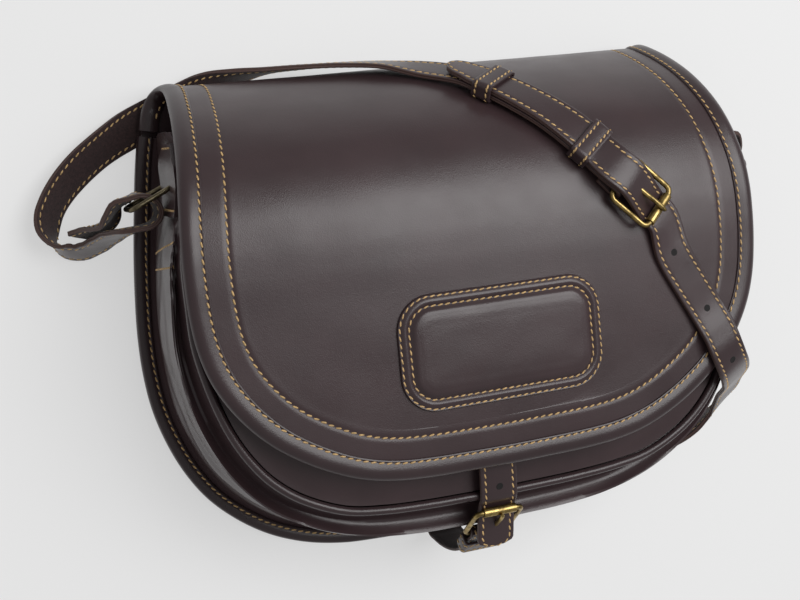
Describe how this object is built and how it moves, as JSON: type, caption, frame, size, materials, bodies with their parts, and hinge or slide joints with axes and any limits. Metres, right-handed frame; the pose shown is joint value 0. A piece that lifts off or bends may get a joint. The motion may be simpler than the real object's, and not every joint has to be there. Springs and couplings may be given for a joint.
{
  "type": "leather hunting bag",
  "caption": "Leather hunting bag lying on its back: bellows body, rounded flap with a bare padded cartouche, buckled closing strap and a shoulder strap on brass rings.",
  "frame": {"origin": "middle of the back panel's flat outer face, which the bag rests on", "axes": "+X to the right as seen from the front, +Y towards the fold at the bag's top, +Z out of the flap's front"},
  "size_m": [0.4035, 0.2715, 0.1136],
  "materials": {
    "brown_leather": "smooth, softly polished",
    "edge_leather": "smooth, satin",
    "brass": "antique, satin"
  },
  "bodies": {
    "root": {"flap": "brown_leather", "flap_binding": "edge_leather", "cartouche": "brown_leather", "gusset": "brown_leather", "back_panel": "brown_leather", "back_binding": "edge_leather", "front_piping": "edge_leather", "front_panel": "brown_leather", "ring_tab_left": "brown_leather", "ring_left": "brass", "ring_tab_right": "brown_leather", "ring_right": "brass", "strap_buckle_frame": "brass", "strap_buckle_roller": "brass", "strap_buckle_prong": "brass", "closing_buckle_frame": "brass", "closing_buckle_roller": "brass", "closing_buckle_prong": "brass", "strap_short": "brown_leather", "strap_long": "brown_leather", "strap_keeper_lower": "edge_leather", "strap_keeper_upper": "edge_leather", "closing_strap": "brown_leather", "closing_tab": "brown_leather", "closing_keeper": "edge_leather"}
  },
  "joints": []
}
